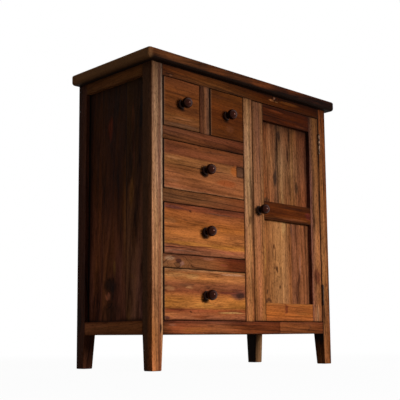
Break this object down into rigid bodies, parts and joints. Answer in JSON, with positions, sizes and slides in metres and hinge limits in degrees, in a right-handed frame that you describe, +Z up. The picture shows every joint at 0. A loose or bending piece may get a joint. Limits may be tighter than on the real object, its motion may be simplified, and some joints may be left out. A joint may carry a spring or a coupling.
{
  "type": "wooden cabinet",
  "caption": "Small free-standing wooden cabinet on tapered legs, with flush drawers beside a frame-and-panel door and a rounded-over top.",
  "frame": {"origin": "on the floor, under the middle of the whole object with its knobs and top board", "axes": "+X to the right seen from the front, +Y to the back, +Z up; the drawers and the door face -Y"},
  "size_m": [0.8, 0.37, 0.85],
  "materials": {
    "top_wood": "oiled, satin",
    "frame_wood": "oiled, satin",
    "panel_wood": "oiled, satin",
    "drawer_front_wood": "oiled, satin",
    "inner_wood": "sanded, unfinished",
    "knob_wood": "dark stained and lacquered",
    "hinge_steel": "plated",
    "screw_steel": "plated",
    "catch_plastic": "moulded",
    "catch_steel": "plated"
  },
  "bodies": {
    "carcass": {"top_board": "top_wood", "post_front_left": "frame_wood", "post_front_right": "frame_wood", "post_back_left": "frame_wood", "post_back_right": "frame_wood", "front_top_rail": "frame_wood", "drawer_rail_1": "frame_wood", "drawer_rail_2": "frame_wood", "drawer_rail_3": "frame_wood", "front_bottom_rail": "frame_wood", "centre_stile": "frame_wood", "small_drawer_divider": "frame_wood", "side_top_rail_left": "frame_wood", "side_top_rail_right": "frame_wood", "side_bottom_rail_left": "frame_wood", "side_bottom_rail_right": "frame_wood", "side_panel_left": "panel_wood", "side_panel_right": "panel_wood", "back_top_rail": "frame_wood", "back_bottom_rail": "frame_wood", "back_panel": "panel_wood", "floor_board": "inner_wood", "partition": "inner_wood", "shelf": "inner_wood", "drawer_runners": "inner_wood", "hinge_frame_leaves": "hinge_steel", "hinge_pins": "hinge_steel", "hinge_frame_screws": "screw_steel", "door_catch": "catch_plastic"},
    "door": {"door_stile_left": "frame_wood", "door_stile_right": "frame_wood", "door_top_rail": "frame_wood", "door_mid_rail": "frame_wood", "door_bottom_rail": "frame_wood", "door_upper_panel": "panel_wood", "door_lower_panel": "panel_wood", "door_knob": "knob_wood", "hinge_door_leaves": "hinge_steel", "hinge_door_screws": "screw_steel", "catch_plate": "catch_steel"},
    "small_drawer_left": {"small_drawer_left_front": "drawer_front_wood", "small_drawer_left_box": "inner_wood", "small_drawer_left_bottom": "inner_wood", "small_drawer_left_knob": "knob_wood"},
    "small_drawer_right": {"small_drawer_right_front": "drawer_front_wood", "small_drawer_right_box": "inner_wood", "small_drawer_right_bottom": "inner_wood", "small_drawer_right_knob": "knob_wood"},
    "wide_drawer_1": {"wide_drawer_1_front": "drawer_front_wood", "wide_drawer_1_box": "inner_wood", "wide_drawer_1_bottom": "inner_wood", "wide_drawer_1_knob": "knob_wood"},
    "wide_drawer_2": {"wide_drawer_2_front": "drawer_front_wood", "wide_drawer_2_box": "inner_wood", "wide_drawer_2_bottom": "inner_wood", "wide_drawer_2_knob": "knob_wood"},
    "wide_drawer_3": {"wide_drawer_3_front": "drawer_front_wood", "wide_drawer_3_box": "inner_wood", "wide_drawer_3_bottom": "inner_wood", "wide_drawer_3_knob": "knob_wood"}
  },
  "joints": [
    {"name": "small_drawer_left_slide", "type": "slide", "parent": "carcass", "child": "small_drawer_left", "axis": [0, -1, 0], "range_m": [0, 0.21]},
    {"name": "small_drawer_right_slide", "type": "slide", "parent": "carcass", "child": "small_drawer_right", "axis": [0, -1, 0], "range_m": [0, 0.21]},
    {"name": "wide_drawer_1_slide", "type": "slide", "parent": "carcass", "child": "wide_drawer_1", "axis": [0, -1, 0], "range_m": [0, 0.21]},
    {"name": "wide_drawer_2_slide", "type": "slide", "parent": "carcass", "child": "wide_drawer_2", "axis": [0, -1, 0], "range_m": [0, 0.21]},
    {"name": "wide_drawer_3_slide", "type": "slide", "parent": "carcass", "child": "wide_drawer_3", "axis": [0, -1, 0], "range_m": [0, 0.21]},
    {"name": "door_hinge", "type": "hinge", "parent": "carcass", "child": "door", "pos_m": [0.335, -0.1515, 0.46097], "axis": [0, 0, 1], "range_deg": [0, 165]}
  ]
}
